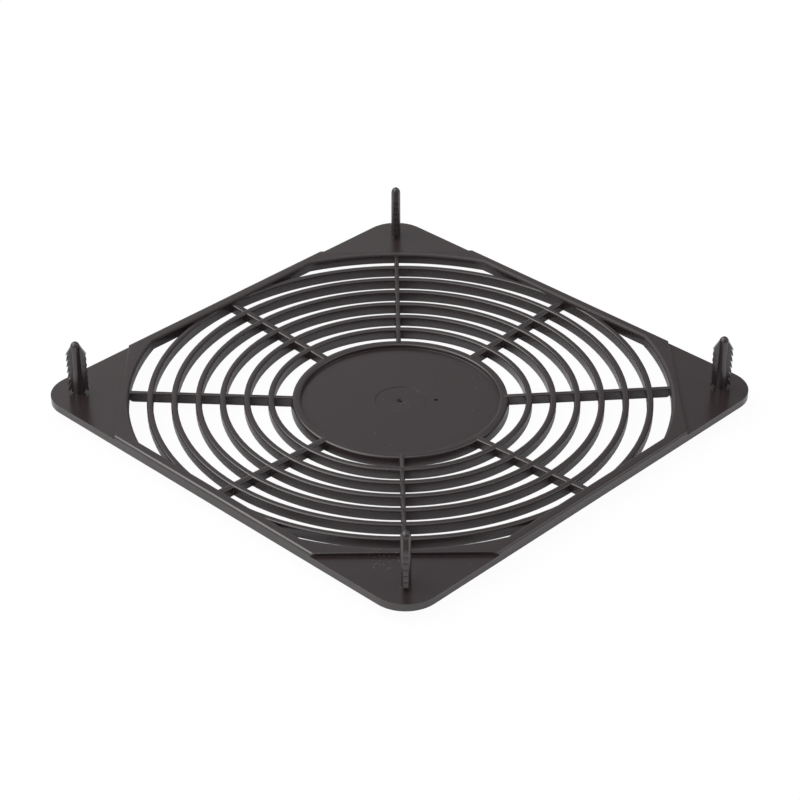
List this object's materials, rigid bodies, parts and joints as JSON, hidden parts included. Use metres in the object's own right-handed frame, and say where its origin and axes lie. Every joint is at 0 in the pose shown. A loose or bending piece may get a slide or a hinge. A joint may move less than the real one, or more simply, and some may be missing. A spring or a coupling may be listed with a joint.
{
  "type": "fan finger guard",
  "caption": "Square snap-in finger guard for a box fan: dished grille of rings and spokes around a solid hub in a low frame, with a barbed pin on each corner pad.",
  "frame": {"origin": "middle of the hub's underside, which is the lowest face and the centre of the square plan", "axes": "+Z out of the pads along the pins, towards the fan; X and Y along the sides of the square frame"},
  "size_m": [0.119, 0.119, 0.0181],
  "materials": {
    "finger_guard": "satin dark grey polyamide"
  },
  "bodies": {
    "root": {"finger_guard": "finger_guard"}
  },
  "joints": []
}
